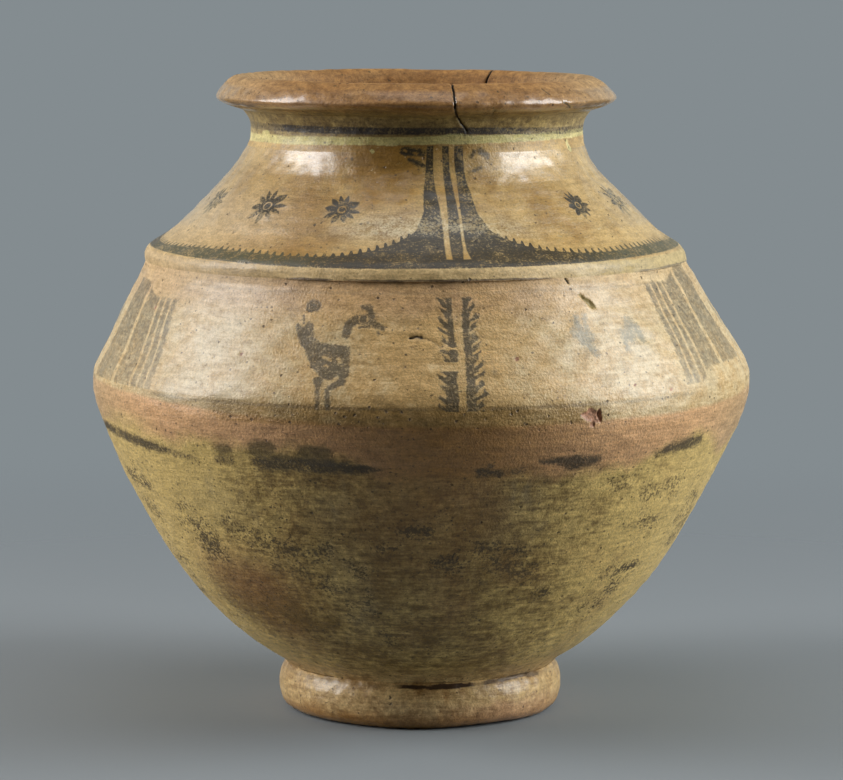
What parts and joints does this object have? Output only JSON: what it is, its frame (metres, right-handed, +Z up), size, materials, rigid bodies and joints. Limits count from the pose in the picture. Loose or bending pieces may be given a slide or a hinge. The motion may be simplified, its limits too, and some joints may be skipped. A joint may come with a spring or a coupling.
{
  "type": "footed storage jar",
  "caption": "Round-bellied footed storage jar of fired clay with a ridged shoulder, short neck and wide flanged mouth.",
  "frame": {"origin": "middle of the face that the foot ring rests on", "axes": "+Z up along the jar's axis, through the mouth; -Y is the side with the bird and the two herringbone trees"},
  "size_m": [0.3098, 0.3098, 0.3],
  "materials": {
    "foot_clay": "burnished tan clay, orange where it rests, with dark flakes in the crease above",
    "bowl_slip": "olive-tan slip with brown speckles and stains, low sheen",
    "band_wash": "reddish-brown wash, pitted along its upper edge, with a broken dark painted line",
    "frieze_slip": "burnished beige slip with worn grey-brown painted figures and striped panels",
    "shoulder_slip": "burnished tan slip mottled with ochre, with dark rosettes and a toothed swag",
    "neck_slip": "ochre-olive slip with a worn dark line and a thick cream band",
    "rim_wash": "reddish-brown burnished wash with cracks, scales and pale flecks"
  },
  "bodies": {
    "root": {"foot_ring": "foot_clay", "lower_body": "bowl_slip", "belly_band": "band_wash", "upper_body": "frieze_slip", "shoulder": "shoulder_slip", "neck": "neck_slip", "rim": "rim_wash"}
  },
  "joints": []
}
